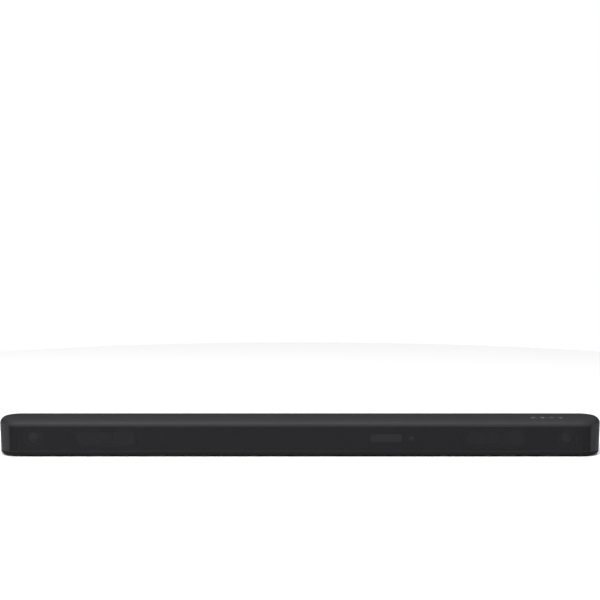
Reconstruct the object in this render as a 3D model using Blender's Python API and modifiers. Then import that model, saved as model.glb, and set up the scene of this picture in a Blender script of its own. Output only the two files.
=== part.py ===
"""A long slim soundbar: rolled plastic covers, a wrapped front grille, four buttons on top, a rear
connection bay, and the two-channel speaker inside.

Units are metres. +Z is up, the front faces -Y, and the length runs along X. The origin is on the
surface that the bar stands on, under the middle of the bar. Left and right are as seen from in front.
"""
import math

import bmesh
import bpy
from mathutils import Matrix, Vector

# Driving dimensions of the bar.
LENGTH = 0.900
DEPTH = 0.066
HEIGHT = 0.057
FOOT_GAP = 0.002
PLAN_RADIUS = 0.030
TOP_ROLL = 0.0095
BOTTOM_ROLL = 0.0045
WALL = 0.0022
SEAM_Z = 0.007
GAP = 0.0003
TINY = 1e-6

# Below the top roll the ends lean inwards, by this much for each metre of drop.
END_DRAFT = 0.030

# The grille follows the front and runs this far round each front corner.
GRILLE_SHEET = 0.0012
WRAP_ANGLE = math.radians(27)
CORNER_STEPS = 10
ROLL_STEPS = 4

# The baffle behind the grille carries the drivers.
BAFFLE_FRONT = -0.0300
BAFFLE_THICK = 0.0030
BAFFLE_HALF = 0.422
BAFFLE_LOW = 0.0052
BAFFLE_HIGH = 0.0500
DRIVER_Z = 0.0285
WOOFER_X = 0.290
TWEETER_X = 0.398

# Racetrack woofer, as length by height of each stadium outline.
WOOFER_FLANGE = (0.104, 0.044)
WOOFER_HOLE = (0.098, 0.038)
WOOFER_SURROUND = (0.0974, 0.0374)
WOOFER_ROLL = 0.0050
CONE_RIM_CLEARANCE = 0.0003
CONE_DEPTH = 0.0115
COIL_RADIUS = 0.0100
COIL_WALL = 0.0008
COIL_LENGTH = 0.0085
MAGNET_RADIUS = 0.0190

RING_POINTS = 20

# Four push buttons in a row on the top, near the right end.
BUTTON_NAMES = ("power", "source", "volume_down", "volume_up")
BUTTON_ROW_X = 0.369
BUTTON_Y = -0.0178
BUTTON_PITCH = 0.0135
BUTTON_CAP = (0.0110, 0.0094)
BUTTON_PROUD = 0.0004
BUTTON_FLANGE = 0.0010
SWITCH_TOP = 0.0508
SWITCH_SIZE = (0.0060, 0.0060, 0.0035)
STEM_RADIUS = 0.0015

# The connection bay is a recess behind a window in the back wall.
BAY_WIDTH = 0.140
BAY_LOW = 0.012
BAY_HIGH = 0.044
BAY_FLOOR_Y = 0.019
BAY_WALL = 0.0016
SOCKET_Z = 0.028
SOCKET_BACK_Y = 0.0049
BOARD_THICK = 0.0016

# Boards that lie flat inside: low and high corner in plan, and the posts that they rest on.
BOARD_LOW = 0.0090
POWER_BOARD = ((0.088, -0.0210), (0.192, 0.0170))
POWER_POSTS = ((0.094, -0.018), (0.094, 0.014), (0.186, -0.014), (0.186, 0.014))
RADIO_BOARD = ((-0.172, -0.0060), (-0.128, 0.0140))
RADIO_POSTS = ((-0.168, 0.004), (-0.132, 0.004))
RADIO_THICK = 0.0012
POST_RADIUS = 0.0025

# Display and remote-control eye, behind the grille: centre as (x, z), then width by height.
DISPLAY_PLACE = (0.128, 0.028)
DISPLAY_SIZE = (0.046, 0.012)
IR_X = 0.166

# Case screws rise from wells in the bottom cover. y is positive at the back.
REAR_SCREW_X = (-0.385, -0.110, 0.110, 0.385)
REAR_SCREW_Y = 0.0240
FRONT_SCREW_X = (-0.200, 0.200)
FRONT_SCREW_Y = -0.0215
WELL_TOP = 0.0097
WELL_FLOOR = 0.0075
BOSS_RADIUS = 0.0040
HEAD_RADIUS = 0.0030
SHANK_RADIUS = 0.0013
SHANK_TOP = 0.0180

# Feet and wall mounting.
FOOT_X = 0.340
FOOT_Y = 0.0170
FOOT_PAD = (0.040, 0.012)
KEYHOLE_X = 0.300
KEYHOLE_ENTRY_Z = 0.024
KEYHOLE_TOP_Z = 0.034

FRONT = -DEPTH / 2
BACK = DEPTH / 2
CORNER_X = LENGTH / 2 - PLAN_RADIUS
GRILLE_END_X = CORNER_X + PLAN_RADIUS * math.sin(WRAP_ANGLE)
GRILLE_TOP = HEIGHT - TOP_ROLL - GAP
CEILING = HEIGHT - WALL
FLOOR = FOOT_GAP + WALL
FLANGE_Y = BAFFLE_FRONT + BAFFLE_THICK + GAP


# ---------------------------------------------------------------- scene and materials
for old in list(bpy.data.objects):
    bpy.data.objects.remove(old, do_unlink=True)

PARTS = bpy.data.collections.new("soundbar")
CUTTERS = bpy.data.collections.new("soundbar_cutters")
bpy.context.scene.collection.children.link(PARTS)
bpy.context.scene.collection.children.link(CUTTERS)


def material(name, colour, roughness, metallic=0.0):
    """Principled material from a linear colour."""
    made = bpy.data.materials.new(name)
    made.use_nodes = True
    shader = made.node_tree.nodes["Principled BSDF"]
    shader.inputs["Base Color"].default_value = (*colour, 1.0)
    shader.inputs["Roughness"].default_value = roughness
    shader.inputs["Metallic"].default_value = metallic
    made.diffuse_color = (*colour, 1.0)
    return made


HOUSING = material("housing_plastic", (0.050, 0.050, 0.054), 0.48)
GRILLE = material("grille_steel", (0.020, 0.020, 0.022), 0.55, 0.3)
INNER = material("inner_plastic", (0.012, 0.012, 0.013), 0.60)
BUTTON = material("button_plastic", (0.058, 0.058, 0.062), 0.45)
RUBBER = material("rubber", (0.015, 0.015, 0.015), 0.85)
ZINC = material("zinc_steel", (0.62, 0.62, 0.60), 0.35, 1.0)
BLACK_STEEL = material("black_steel", (0.03, 0.03, 0.03), 0.45, 0.8)
FERRITE = material("ferrite", (0.06, 0.06, 0.065), 0.70)
PAPER = material("cone_paper", (0.025, 0.025, 0.027), 0.80)
SILK = material("dome_silk", (0.05, 0.05, 0.055), 0.60)
BOARD = material("circuit_board", (0.01, 0.09, 0.04), 0.45)
CHIP = material("component_plastic", (0.02, 0.02, 0.02), 0.50)
ALUMINIUM = material("aluminium", (0.80, 0.80, 0.82), 0.35, 1.0)
CAN = material("capacitor_sleeve", (0.02, 0.03, 0.10), 0.40)
GLASS = material("display_window", (0.01, 0.01, 0.012), 0.15)
CABLE = material("cable_sheath", (0.55, 0.05, 0.04), 0.50)


# ---------------------------------------------------------------- modelling helpers
def block(low, high):
    """Box between two corners."""
    low, high = Vector(low), Vector(high)
    bm = bmesh.new()
    place = Matrix.Translation((low + high) / 2) @ Matrix.Diagonal((*(high - low), 1.0))
    bmesh.ops.create_cube(bm, size=1.0, matrix=place)
    return bm


def rod(start, end, radius, sides=20):
    """Cylinder between two points."""
    start, end = Vector(start), Vector(end)
    turn = (end - start).to_track_quat("Z", "Y").to_matrix().to_4x4()
    place = Matrix.Translation((start + end) / 2) @ turn
    bm = bmesh.new()
    bmesh.ops.create_cone(bm, cap_ends=True, segments=sides, radius1=radius, radius2=radius,
                          depth=(end - start).length, matrix=place)
    return bm


def edges_along(bm, axis):
    """Edges parallel to an axis, 0 for X, 1 for Y, 2 for Z."""
    return [e for e in bm.edges
            if abs((e.verts[1].co - e.verts[0].co).normalized()[axis]) > 1 - TINY]


def edges_at(bm, axis, value):
    """Edges that lie wholly at one value of an axis."""
    return [e for e in bm.edges if all(abs(v.co[axis] - value) < TINY for v in e.verts)]


def round_edges(bm, edges, radius, steps):
    bmesh.ops.bevel(bm, geom=edges, offset=radius, segments=steps, profile=0.5,
                    affect="EDGES", clamp_overlap=False)


def rounded_block(low, high, axis, radius, steps=4):
    """Box whose four edges along one axis are rounded."""
    bm = block(low, high)
    round_edges(bm, edges_along(bm, axis), radius, steps)
    return bm


def stadium(size, y_front, y_back, steps=6):
    """Upright racetrack plate, round at both ends, centred on X = Z = 0."""
    half_x, half_z = size[0] / 2, size[1] / 2
    return rounded_block((-half_x, y_front, -half_z), (half_x, y_back, half_z), 1,
                         half_z - TINY * 10, steps)


def plan_block(low, high):
    """Block with the bar's outline seen from above."""
    return rounded_block((-LENGTH / 2, FRONT, low), (LENGTH / 2, BACK, high), 2,
                         PLAN_RADIUS, CORNER_STEPS)


def lean_ends(bm):
    """Draw the rounded ends in towards the floor. The straight front and back stay as they are."""
    for vert in bm.verts:
        share = (abs(vert.co.x) - CORNER_X) / PLAN_RADIUS
        drop = HEIGHT - TOP_ROLL - vert.co.z
        if share > 0 and drop > 0:
            vert.co.x -= math.copysign(share * drop * END_DRAFT, vert.co.x)


def drop_faces(bm, unwanted):
    """Delete faces, and the edges and points that only they used."""
    bmesh.ops.delete(bm, geom=[f for f in bm.faces if unwanted(f)], context="FACES")


def add_object(name, bm, collection, location=(0, 0, 0)):
    mesh = bpy.data.meshes.new(name)
    bm.to_mesh(mesh)
    bm.free()
    made = bpy.data.objects.new(name, mesh)
    made.location = location
    collection.objects.link(made)
    return made


def part(name, bm, mat, location=(0, 0, 0)):
    """A sub-part in its own named object, with smooth round faces and crisp corners."""
    made = add_object(name, bm, PARTS, location)
    made.data.materials.append(mat)
    made.data.shade_smooth()
    made.data.set_sharp_from_angle(angle=math.radians(35))
    return made


def boolean(target, bm, operation):
    """Cut a shape out of a part, or join it on. The shape is in the part's own axes."""
    tool = add_object(f"{target.name}_{operation.lower()}_{len(target.modifiers)}", bm, CUTTERS,
                      target.location)
    tool.hide_render = True
    tool.display_type = "WIRE"
    modifier = target.modifiers.new(operation.lower(), "BOOLEAN")
    modifier.operation = operation
    modifier.object = tool
    modifier.solver = "EXACT"


def cut(target, *shapes):
    for shape in shapes:
        boolean(target, shape, "DIFFERENCE")


def join(target, *shapes):
    for shape in shapes:
        boolean(target, shape, "UNION")


def solidify(target, thickness):
    """Wall of even thickness, on the inner side of the surface."""
    modifier = target.modifiers.new("wall", "SOLIDIFY")
    modifier.thickness = thickness
    modifier.offset = -1.0
    modifier.use_even_offset = True


def turned(name, profile, mat, steps, location=(0, 0, 0), axis="Z"):
    """Solid of revolution. The profile is (radius, height) pairs down its outer side."""
    mesh = bpy.data.meshes.new(name)
    points = [(radius, 0, height) for radius, height in profile]
    lines = [(i, i + 1) for i in range(len(points) - 1)]
    if profile[0][0] > TINY:
        lines.append((len(points) - 1, 0))
    mesh.from_pydata(points, lines, [])
    mesh.materials.append(mat)
    made = bpy.data.objects.new(name, mesh)
    made.location = location
    if axis == "Y":
        made.rotation_euler = (math.pi / 2, 0, 0)
    PARTS.objects.link(made)
    screw = made.modifiers.new("turn", "SCREW")
    screw.axis = "Z"
    screw.steps = steps
    screw.render_steps = steps
    screw.use_merge_vertices = True
    screw.merge_threshold = 0.00001
    return made


# ---------------------------------------------------------------- covers, grille and baffle
def keyhole(entry_radius, slot_radius, y_low, y_high, x):
    """Round entry with a narrower slot running up from it."""
    entry = rod((x, y_low, KEYHOLE_ENTRY_Z), (x, y_high, KEYHOLE_ENTRY_Z), entry_radius, 24)
    slot = rounded_block((x - slot_radius, y_low, KEYHOLE_ENTRY_Z),
                         (x + slot_radius, y_high, KEYHOLE_TOP_Z + slot_radius), 1,
                         slot_radius * 0.98, 4)
    return entry, slot


def button_x(index):
    return BUTTON_ROW_X + (index - (len(BUTTON_NAMES) - 1) / 2) * BUTTON_PITCH


def make_top_cover():
    low = SEAM_Z + GAP
    bm = plan_block(low, HEIGHT)
    round_edges(bm, edges_at(bm, 2, HEIGHT), TOP_ROLL, ROLL_STEPS)
    drop_faces(bm, lambda face: all(abs(v.co.z - low) < TINY for v in face.verts))
    lean_ends(bm)
    cover = part("top_cover", bm, HOUSING)
    solidify(cover, WALL)
    for x in REAR_SCREW_X:
        join(cover, rod((x, REAR_SCREW_Y, WELL_TOP + GAP), (x, REAR_SCREW_Y, CEILING + 0.0010),
                        BOSS_RADIUS, 12))
        cut(cover, rod((x, REAR_SCREW_Y, 0), (x, REAR_SCREW_Y, SHANK_TOP + 0.0020),
                       SHANK_RADIUS + GAP, 8))
    for x in (button_x(0) - 0.0020, button_x(3) + 0.0020):
        join(cover, rod((x, BUTTON_Y + 0.0085, 0.0472), (x, BUTTON_Y + 0.0085, CEILING + 0.0010),
                        0.0020, 12))
    half = GRILLE_END_X + GAP
    window = block((-half, FRONT - 0.01, 0), (half, FRONT + 0.011, HEIGHT - TOP_ROLL))
    lean_ends(window)
    cut(cover, window)
    half = BAY_WIDTH / 2
    cut(cover, rounded_block((-half, BACK - 0.006, BAY_LOW), (half, BACK + 0.006, BAY_HIGH), 1,
                             0.0030))
    for x in (-KEYHOLE_X, KEYHOLE_X):
        cut(cover, *keyhole(0.0055, 0.0030, BACK - 0.006, BACK + 0.006, x))
    half_x, half_y = BUTTON_CAP[0] / 2 + GAP, BUTTON_CAP[1] / 2 + GAP
    for index in range(len(BUTTON_NAMES)):
        x = button_x(index)
        cut(cover, rounded_block((x - half_x, BUTTON_Y - half_y, CEILING - 0.0010),
                                 (x + half_x, BUTTON_Y + half_y, HEIGHT + 0.0010), 2, 0.0028))


def make_bottom_cover():
    bm = plan_block(FOOT_GAP, SEAM_Z)
    round_edges(bm, edges_at(bm, 2, FOOT_GAP), BOTTOM_ROLL, ROLL_STEPS)
    drop_faces(bm, lambda face: all(abs(v.co.z - SEAM_Z) < TINY for v in face.verts))
    lean_ends(bm)
    cover = part("bottom_cover", bm, HOUSING)
    solidify(cover, WALL)
    screws = [(x, REAR_SCREW_Y) for x in REAR_SCREW_X] + [(x, FRONT_SCREW_Y) for x in FRONT_SCREW_X]
    for x, y in screws:
        join(cover, rod((x, y, FLOOR - 0.0010), (x, y, WELL_TOP), 0.0050, 12))
        cut(cover, rod((x, y, 0), (x, y, WELL_FLOOR), HEAD_RADIUS + 0.0004, 12),
            rod((x, y, 0), (x, y, WELL_TOP + 0.002), SHANK_RADIUS + GAP, 8))
    for x, y in foot_places():
        cut(cover, rod((x, y, 0), (x, y, FLOOR + 0.002), 0.0020 + GAP, 12))
    for x, y in POWER_POSTS + RADIO_POSTS:
        join(cover, rod((x, y, FLOOR - 0.0010), (x, y, BOARD_LOW - GAP), POST_RADIUS, 8))


def make_front_grille():
    bm = plan_block(SEAM_Z + GAP, GRILLE_TOP)
    bm.normal_update()
    drop_faces(bm, lambda face: face.normal.y > -math.cos(WRAP_ANGLE))
    lean_ends(bm)
    grille = part("front_grille", bm, GRILLE)
    solidify(grille, GRILLE_SHEET)


def make_front_baffle():
    back = BAFFLE_FRONT + BAFFLE_THICK
    bm = block((-BAFFLE_HALF, BAFFLE_FRONT, BAFFLE_LOW), (BAFFLE_HALF, back, BAFFLE_HIGH))
    baffle = part("front_baffle", bm, INNER)
    for x in FRONT_SCREW_X:
        join(baffle, rod((x, FRONT_SCREW_Y, WELL_TOP + GAP), (x, FRONT_SCREW_Y, 0.0240),
                         BOSS_RADIUS, 12),
             block((x - 0.0025, back - 0.0010, WELL_TOP + GAP + TINY),
                   (x + 0.0025, FRONT_SCREW_Y - 0.0020, 0.0236)))
        cut(baffle, rod((x, FRONT_SCREW_Y, 0), (x, FRONT_SCREW_Y, SHANK_TOP + 0.0020),
                        SHANK_RADIUS + GAP, 8))
    for side in (-1, 1):
        hole = stadium(WOOFER_HOLE, BAFFLE_FRONT - 0.002, back + 0.002)
        bmesh.ops.translate(hole, vec=(side * WOOFER_X, 0, DRIVER_Z), verts=hole.verts)
        x = side * TWEETER_X
        cut(baffle, hole,
            rod((x, BAFFLE_FRONT - 0.002, DRIVER_Z), (x, back + 0.002, DRIVER_Z), 0.0150, 32))
    x, z = DISPLAY_PLACE
    half_x, half_z = DISPLAY_SIZE[0] / 2 + GAP, DISPLAY_SIZE[1] / 2 + GAP
    cut(baffle, block((x - half_x, BAFFLE_FRONT - 0.002, z - half_z),
                      (x + half_x, back + 0.002, z + half_z)),
        rod((IR_X, BAFFLE_FRONT - 0.002, z), (IR_X, back + 0.002, z), 0.0040, 16))


# ---------------------------------------------------------------- feet, screws, wall plates
def foot_places():
    return [(x, y) for x in (-FOOT_X, FOOT_X) for y in (-FOOT_Y, FOOT_Y)]


def make_feet():
    half_x, half_y = FOOT_PAD[0] / 2, FOOT_PAD[1] / 2
    names = ("foot_front_left", "foot_rear_left", "foot_front_right", "foot_rear_right")
    for name, (x, y) in zip(names, foot_places()):
        pad = rounded_block((-half_x, -half_y, 0), (half_x, half_y, FOOT_GAP - GAP), 2, 0.0050)
        foot = part(name, pad, RUBBER, (x, y, 0))
        join(foot, rod((0, 0, FOOT_GAP - 0.001), (0, 0, FLOOR + 0.0004), 0.0020, 12))


def make_case_screws():
    names = ("rear_outer_left", "rear_inner_left", "rear_inner_right", "rear_outer_right")
    places = [(f"case_screw_{name}", x, REAR_SCREW_Y) for name, x in zip(names, REAR_SCREW_X)]
    places += [(f"case_screw_front_{name}", x, FRONT_SCREW_Y)
               for name, x in zip(("left", "right"), FRONT_SCREW_X)]
    head_top = WELL_FLOOR - GAP
    profile = [(0, SHANK_TOP), (SHANK_RADIUS * 0.4, SHANK_TOP), (SHANK_RADIUS, SHANK_TOP - 0.0010),
               (SHANK_RADIUS, head_top), (HEAD_RADIUS, head_top), (HEAD_RADIUS, head_top - 0.0010),
               (HEAD_RADIUS * 0.75, head_top - 0.0018), (0, head_top - 0.0018)]
    for name, x, y in places:
        screw = turned(name, profile, ZINC, 12, (x, y, 0))
        slot = head_top - 0.0011
        cut(screw, block((-0.0016, -0.0004, 0), (0.0016, 0.0004, slot)),
            block((-0.0004, -0.0016, 0), (0.0004, 0.0016, slot)))


def make_keyhole_plates():
    y_high = BACK - WALL - GAP
    y_low = y_high - 0.0012
    for name, x in (("keyhole_plate_left", -KEYHOLE_X), ("keyhole_plate_right", KEYHOLE_X)):
        plate = part(name, rounded_block((x - 0.016, y_low, 0.0130), (x + 0.016, y_high, 0.0440), 1,
                                         0.0020, 2), ZINC)
        cut(plate, *keyhole(0.0050, 0.0026, y_low - 0.001, y_high + 0.001, x))


# ---------------------------------------------------------------- buttons
def make_buttons():
    """Caps with a flange under the cover and a stem that works the switch below."""
    top = HEIGHT + BUTTON_PROUD
    half_x, half_y = BUTTON_CAP[0] / 2, BUTTON_CAP[1] / 2
    flange_top = CEILING - GAP - top
    flange_low = flange_top - BUTTON_FLANGE
    stem_low = SWITCH_TOP - 0.0018 - top
    for index, name in enumerate(BUTTON_NAMES):
        cap = rounded_block((-half_x, -half_y, flange_low), (half_x, half_y, 0), 2, 0.0025)
        round_edges(cap, edges_at(cap, 2, 0), 0.0005, 2)
        button = part(f"{name}_button", cap, BUTTON, (button_x(index), BUTTON_Y, top))
        reach_x, reach_y = half_x + BUTTON_FLANGE, half_y + BUTTON_FLANGE
        join(button, block((-reach_x, -reach_y, flange_low - 0.0002), (reach_x, reach_y, flange_top)),
             rod((0, 0, stem_low), (0, 0, flange_low + 0.0004), STEM_RADIUS, 12))


def make_button_board():
    half_x, half_y, height = SWITCH_SIZE[0] / 2, SWITCH_SIZE[1] / 2, SWITCH_SIZE[2]
    for index, name in enumerate(BUTTON_NAMES):
        body = block((-half_x, -half_y, -height), (half_x, half_y, 0))
        switch = part(f"{name}_switch", body, CHIP, (button_x(index), BUTTON_Y, SWITCH_TOP))
        cut(switch, rod((0, 0, -0.0026), (0, 0, 0.0010), STEM_RADIUS + GAP, 12))
    board_top = SWITCH_TOP - height - GAP
    part("button_board", block((BUTTON_ROW_X - 0.026, BUTTON_Y - 0.0062, board_top - BOARD_THICK),
                               (BUTTON_ROW_X + 0.026, BUTTON_Y + 0.0118, board_top)), BOARD)


# ---------------------------------------------------------------- connection bay and boards
SOCKETS = {
    # name: (centre x, body width, body height, mouth width, mouth height, mouth depth)
    "power_inlet": (0.048, 0.0240, 0.0160, 0.0172, 0.0088, 0.0110),
    "video_socket": (0.014, 0.0184, 0.0094, 0.0148, 0.0052, 0.0090),
    "optical_socket": (-0.010, 0.0120, 0.0120, 0.0080, 0.0080, 0.0080),
    "aux_socket": (-0.032, 0.0110, 0.0110, 0.0036, 0.0036, 0.0110),
    "usb_socket": (-0.053, 0.0160, 0.0096, 0.0128, 0.0056, 0.0090),
}


def make_rear_bay():
    """A bezel that lines the window in the back wall, and the plate behind it that shows the sockets."""
    half = BAY_WIDTH / 2 - GAP
    low, high = BAY_LOW + GAP, BAY_HIGH - GAP
    wall_inner = BACK - WALL - GAP
    bezel = part("rear_bay_bezel", rounded_block((-half, BAY_FLOOR_Y + GAP, low),
                                                 (half, BACK - GAP, high), 1, 0.0027), HOUSING)
    join(bezel, block((-half - 0.0040, wall_inner - 0.0015, low - 0.0035),
                      (half + 0.0040, wall_inner, high + 0.0035)))
    cut(bezel, rounded_block((-half + BAY_WALL, BAY_FLOOR_Y - 0.002, low + BAY_WALL),
                             (half - BAY_WALL, BACK + 0.004, high - BAY_WALL), 1, 0.0012))
    panel = part("rear_port_panel", rounded_block((-half, BAY_FLOOR_Y - 0.0020, low),
                                                  (half, BAY_FLOOR_Y, high), 1, 0.0027), INNER)
    for x, width, height, *_ in SOCKETS.values():
        half_x, half_z = width / 2 + GAP, height / 2 + GAP
        cut(panel, block((x - half_x, BAY_FLOOR_Y - 0.004, SOCKET_Z - half_z),
                         (x + half_x, BAY_FLOOR_Y + 0.002, SOCKET_Z + half_z)))


def make_sockets():
    mouth_y = BAY_FLOOR_Y + 0.0006
    for name, (x, width, height, mouth_x, mouth_z, depth) in SOCKETS.items():
        body = block((-width / 2, SOCKET_BACK_Y - mouth_y, -height / 2), (width / 2, 0, height / 2))
        socket = part(name, body, CHIP, (x, mouth_y, SOCKET_Z))
        if mouth_x == mouth_z:
            mouth = rod((0, -depth, 0), (0, 0.001, 0), mouth_x / 2, 24)
        else:
            mouth = block((-mouth_x / 2, -depth, -mouth_z / 2), (mouth_x / 2, 0.001, mouth_z / 2))
        cut(socket, mouth)


def make_main_board():
    """Upright board behind the sockets, with the amplifier's heatsink on its front."""
    back = SOCKET_BACK_Y - GAP
    front = back - BOARD_THICK
    part("main_board", block((-0.066, front, 0.0100), (0.066, back, 0.0460)), BOARD)
    base_back = front - GAP
    sink = part("heatsink", block((-0.030, base_back - 0.0020, 0.0140),
                                  (0.010, base_back, 0.0420)), ALUMINIUM)
    for index in range(6):
        x = -0.0285 + index * 0.0072
        join(sink, block((x, base_back - 0.0120, 0.0140), (x + 0.0010, base_back - 0.0010, 0.0420)))


def make_power_board():
    low, high = POWER_BOARD
    top = BOARD_LOW + BOARD_THICK
    part("power_board", block((*low, BOARD_LOW), (*high, top)), BOARD)
    base = top + GAP
    core = block((0.108, -0.0150, base), (0.140, 0.0130, base + 0.0050))
    transformer = part("power_transformer", core, FERRITE)
    join(transformer, rounded_block((0.1115, -0.0120, base + 0.0040),
                                    (0.1365, 0.0100, base + 0.0220), 2, 0.0030))
    turned("mains_capacitor",
           [(0, 0.0250), (0.0070, 0.0250), (0.0080, 0.0240), (0.0080, 0.0010), (0.0070, 0), (0, 0)],
           CAN, 20, (0.180, -0.0020, base))


def make_wireless_module():
    low, high = RADIO_BOARD
    top = BOARD_LOW + RADIO_THICK
    module = part("wireless_module", block((*low, BOARD_LOW), (*high, top)), BOARD)
    join(module, block((-0.162, -0.0020, top - 0.0004), (-0.144, 0.0120, top + 0.0020)))


def make_display():
    x, z = DISPLAY_PLACE
    half_x, half_z = DISPLAY_SIZE[0] / 2, DISPLAY_SIZE[1] / 2
    module_back = FLANGE_Y + 0.0012
    part("display_module", block((x - half_x, BAFFLE_FRONT + 0.0003, z - half_z),
                                 (x + half_x, module_back, z + half_z)), GLASS)
    part("display_board", block((0.100, module_back + GAP, 0.0180),
                                (0.176, module_back + GAP + BOARD_THICK, 0.0380)), BOARD)
    eye = part("infrared_receiver", block((IR_X - 0.0040, FLANGE_Y, z - 0.0040),
                                          (IR_X + 0.0040, module_back, z + 0.0040)), GLASS)
    join(eye, rod((IR_X, BAFFLE_FRONT + 0.0006, z), (IR_X, FLANGE_Y + 0.0006, z), 0.0030, 16))


# ---------------------------------------------------------------- speaker drivers
def ring_points(size, y, count):
    """Points round a stadium outline, evenly turned from its long axis."""
    half_x, half_z = size[0] / 2, size[1] / 2
    straight = half_x - half_z
    points = []
    for index in range(count):
        angle = 2 * math.pi * (index + 0.5) / count
        shift = math.copysign(straight, math.cos(angle))
        points.append(Vector((shift + half_z * math.cos(angle), y, half_z * math.sin(angle))))
    return points


def loft(rings):
    """Open tube through rings of points that have the same count."""
    bm = bmesh.new()
    rows = [[bm.verts.new(point) for point in ring] for ring in rings]
    for first, second in zip(rows, rows[1:]):
        for index, here in enumerate(first):
            after = (index + 1) % len(first)
            bm.faces.new((here, first[after], second[after], second[index]))
    bm.normal_update()
    return bm


def make_woofer(side, x):
    place = (x, FLANGE_Y, DRIVER_Z)
    basket_back = 0.0165
    frame = part(f"{side}_woofer_frame", stadium(WOOFER_FLANGE, 0, 0.0016), BLACK_STEEL, place)
    basket = loft([ring_points((0.092, 0.036), 0.0008, RING_POINTS),
                   ring_points((0.084, 0.034), 0.0060, RING_POINTS),
                   ring_points((0.046, 0.030), basket_back, RING_POINTS)])
    basket.faces.new(list(basket.verts)[:RING_POINTS])
    basket.faces.new(list(basket.verts)[-RING_POINTS:])
    bmesh.ops.recalc_face_normals(basket, faces=basket.faces)
    join(frame, basket)
    hollow = loft([ring_points((0.0896, 0.0316), -0.0010, RING_POINTS),
                   ring_points((0.0816, 0.0310), 0.0056, RING_POINTS),
                   ring_points((0.0420, 0.0276), basket_back - 0.0014, RING_POINTS)])
    hollow.faces.new(list(hollow.verts)[:RING_POINTS])
    hollow.faces.new(list(hollow.verts)[-RING_POINTS:])
    bmesh.ops.recalc_face_normals(hollow, faces=hollow.faces)
    cut(frame, hollow, rod((0, 0, 0), (0, basket_back + 0.002, 0), COIL_RADIUS + 0.0020, 20))

    surround = part(f"{side}_woofer_surround",
                    stadium(WOOFER_SURROUND, -0.0024, -GAP), RUBBER, place)
    inner = tuple(size - 2 * WOOFER_ROLL for size in WOOFER_SURROUND)
    cut(surround, stadium(inner, -0.004, 0.002))

    rim = tuple(size - 2 * CONE_RIM_CLEARANCE for size in inner)
    neck = (2 * COIL_RADIUS, 2 * COIL_RADIUS)
    cone_surface = loft([ring_points(rim, -0.0010, RING_POINTS),
                         ring_points((rim[0] * 0.66, 0.0245), CONE_DEPTH * 0.42, RING_POINTS),
                         ring_points(neck, CONE_DEPTH, RING_POINTS),
                         ring_points(neck, CONE_DEPTH + COIL_LENGTH, RING_POINTS)])
    bmesh.ops.recalc_face_normals(cone_surface, faces=cone_surface.faces)
    cone = part(f"{side}_woofer_cone", cone_surface, PAPER, place)
    solidify(cone, COIL_WALL)
    cap = bmesh.new()
    bmesh.ops.create_uvsphere(cap, u_segments=12, v_segments=6, radius=1.0,
                              matrix=Matrix.Translation((0, CONE_DEPTH - 0.0020, 0))
                              @ Matrix.Diagonal((0.0112, 0.0034, 0.0112, 1.0)))
    join(cone, cap)

    gap_inner = COIL_RADIUS - COIL_WALL - 0.0007
    gap_outer = COIL_RADIUS + 0.0007
    front, back = -(basket_back + GAP), -0.0300
    turned(f"{side}_woofer_magnet",
           [(0, front - 0.0010), (gap_inner, front - 0.0010), (gap_inner, back + 0.0035),
            (gap_outer, back + 0.0035), (gap_outer, front), (0.0140, front),
            (0.0140, front - 0.0025), (MAGNET_RADIUS, front - 0.0025),
            (MAGNET_RADIUS, back + 0.0022), (0.0165, back + 0.0020), (0.0165, back), (0, back)],
           FERRITE, 20, place, axis="Y")


def make_tweeter(side, x):
    place = (x, FLANGE_Y, DRIVER_Z)
    frame = part(f"{side}_tweeter_frame",
                 rounded_block((-0.020, 0, -0.020), (0.020, 0.0020, 0.020), 1, 0.004), BLACK_STEEL,
                 place)
    join(frame, rod((0, -0.0015, 0), (0, 0.0010, 0), 0.0145, 24),
         rod((0, 0.0010, 0), (0, 0.0180, 0), 0.0150, 24))
    cut(frame, rod((0, -0.0030, 0), (0, 0.0060, 0), 0.0104, 24))
    profile = [(0, 0.0040), (0.0035, 0.0036), (0.0068, 0.0022), (0.0092, 0), (0.0099, -0.0006),
               (0.0099, -0.0012), (0, -0.0012)]
    turned(f"{side}_tweeter_dome", profile, SILK, 16, (x, FLANGE_Y + 0.0040, DRIVER_Z), axis="Y")


# ---------------------------------------------------------------- internal wiring
def wire(name, points, radius):
    """Bundle of leads along a hand-laid route, straight-capped at both ends."""
    curve = bpy.data.curves.new(name, "CURVE")
    curve.dimensions = "3D"
    curve.bevel_depth = radius
    curve.bevel_resolution = 2
    curve.use_fill_caps = True
    spline = curve.splines.new("POLY")
    spline.points.add(len(points) - 1)
    for target, point in zip(spline.points, points):
        target.co = (*point, 1.0)
    made = bpy.data.objects.new(name, curve)
    made.data.materials.append(CABLE)
    PARTS.objects.link(made)


def make_wiring():
    left = [(-0.0675, 0.0040, 0.0200), (-0.0800, 0.0035, 0.0185), (-0.1000, 0.0000, 0.0170),
            (-0.1300, -0.0080, 0.0165), (-0.1700, -0.0140, 0.0165), (-0.2050, -0.0130, 0.0180),
            (-0.2300, -0.0080, 0.0210), (-0.2420, -0.0050, 0.0240)]
    wire("left_speaker_lead", left, 0.0012)
    right = [(0.0675, 0.0040, 0.0440), (0.0850, 0.0045, 0.0450), (0.1100, 0.0050, 0.0455),
             (0.1500, 0.0040, 0.0455), (0.2000, 0.0000, 0.0440), (0.2250, -0.0040, 0.0400),
             (0.2360, -0.0050, 0.0360), (0.2420, -0.0050, 0.0330)]
    wire("right_speaker_lead", right, 0.0012)


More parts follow.
